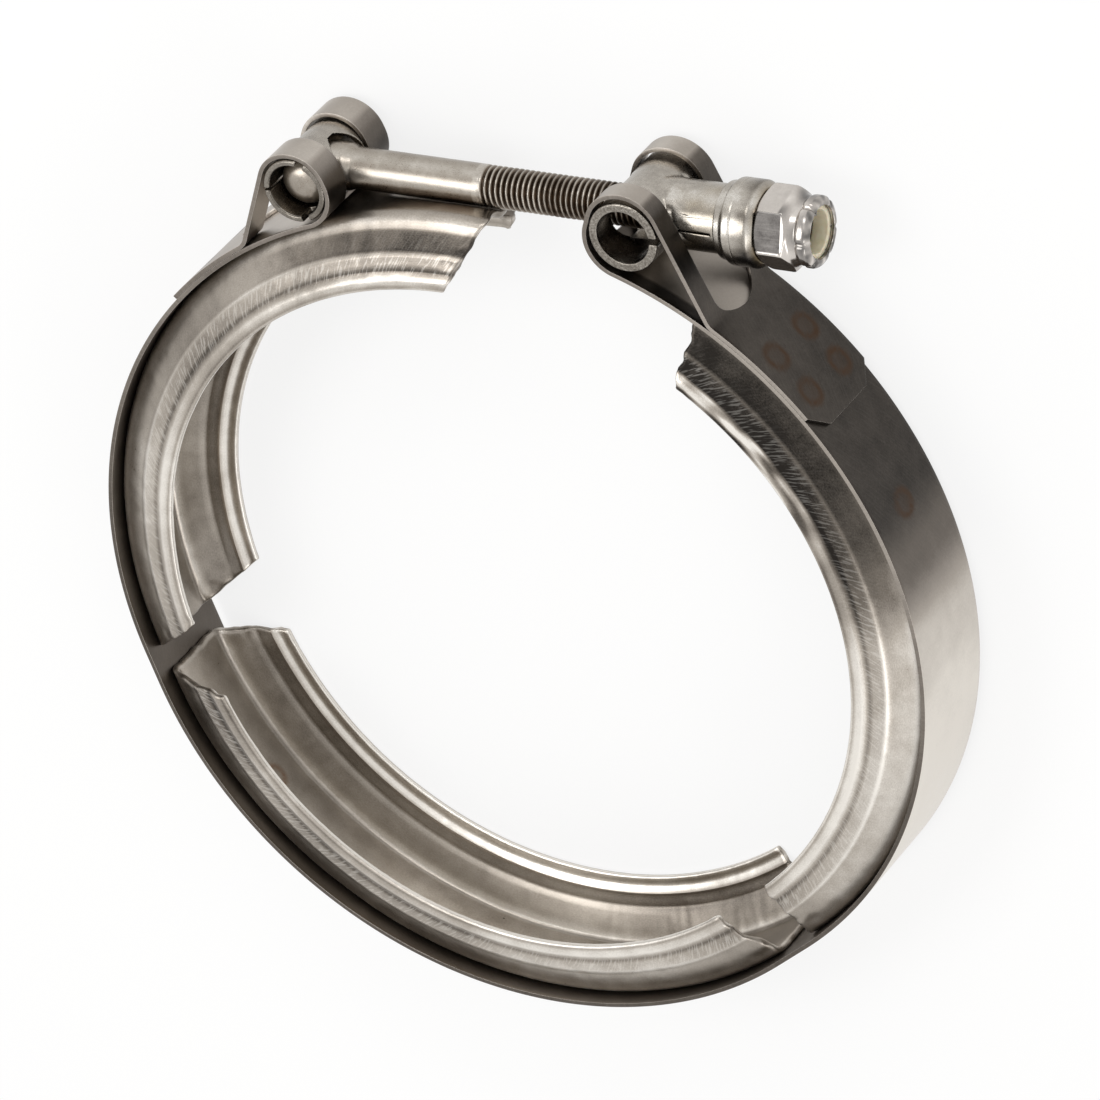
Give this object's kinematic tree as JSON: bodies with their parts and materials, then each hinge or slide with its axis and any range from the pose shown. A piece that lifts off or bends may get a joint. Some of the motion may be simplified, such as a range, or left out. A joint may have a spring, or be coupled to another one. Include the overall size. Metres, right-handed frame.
{
  "type": "t-bolt clamp",
  "caption": "V-band clamp: a slotted steel strap carries rolled V retainers and closes round a flanged joint with a swivelling T-bolt, trunnion and lock nut.",
  "frame": {"origin": "centre of the flange circle that the lips grip, halfway through the strap's width", "axes": "+Z along the ring's axis; +Y from the centre towards the gap between the loops; +X towards the lock nut"},
  "size_m": [0.1374, 0.1441, 0.022],
  "materials": {
    "strap_steel": "rolled stainless sheet, dull, heat tinted at the welds",
    "retainer_steel": "roll-formed stainless sheet, satin, scuffed",
    "trunnion_steel": "formed stainless sheet, semi-bright",
    "bolt_steel": "rolled thread and cold-headed shank, semi-bright",
    "nut_steel": "turned hexagon, bright crimped crown",
    "nylon": "ivory nylon"
  },
  "bodies": {
    "lower_segment": {"band_strap": "strap_steel", "retainer_lower": "retainer_steel"},
    "left_arm": {"retainer_left": "retainer_steel"},
    "right_arm": {"retainer_right": "retainer_steel"},
    "bolt": {"t_bolt": "bolt_steel", "head_tube": "trunnion_steel"},
    "trunnion_block": {"trunnion": "trunnion_steel", "ferrule": "trunnion_steel"},
    "nut": {"lock_nut": "nut_steel", "nylon_insert": "nylon"}
  },
  "joints": [
    {"name": "left_arm_flex", "type": "hinge", "parent": "lower_segment", "child": "left_arm", "pos_m": [-0.0631, -0.01632, 0], "axis": [0, 0, 1], "range_deg": [-4.55, 0], "deforming": ["band_strap"]},
    {"name": "right_arm_flex", "type": "hinge", "parent": "lower_segment", "child": "right_arm", "pos_m": [0.04252, -0.04943, 0], "axis": [0, 0, 1], "range_deg": [0, 5.68], "deforming": ["band_strap"]},
    {"name": "bolt_swivel", "type": "hinge", "parent": "left_arm", "child": "bolt", "pos_m": [-0.02531, 0.07184, 0], "axis": [0, 0, 1], "range_deg": [0, 6.65]},
    {"name": "trunnion_swivel", "type": "hinge", "parent": "right_arm", "child": "trunnion_block", "pos_m": [0.02951, 0.07162, 0], "axis": [0, 0, 1], "range_deg": [-3.59, 0]},
    {"name": "nut_turn", "type": "hinge", "parent": "trunnion_block", "child": "nut", "pos_m": [0.04891, 0.07154, 0], "axis": [-1, 0.004, 0], "range_deg": [0, 7450.1]}
  ],
  "couplings": [
    {"joint": "left_arm_flex", "follows": "nut_turn", "ratio": -0.00061073},
    {"joint": "right_arm_flex", "follows": "nut_turn", "ratio": 0.00076241},
    {"joint": "bolt_swivel", "follows": "nut_turn", "ratio": 0.00089216},
    {"joint": "trunnion_swivel", "follows": "nut_turn", "ratio": -0.00048097}
  ]
}
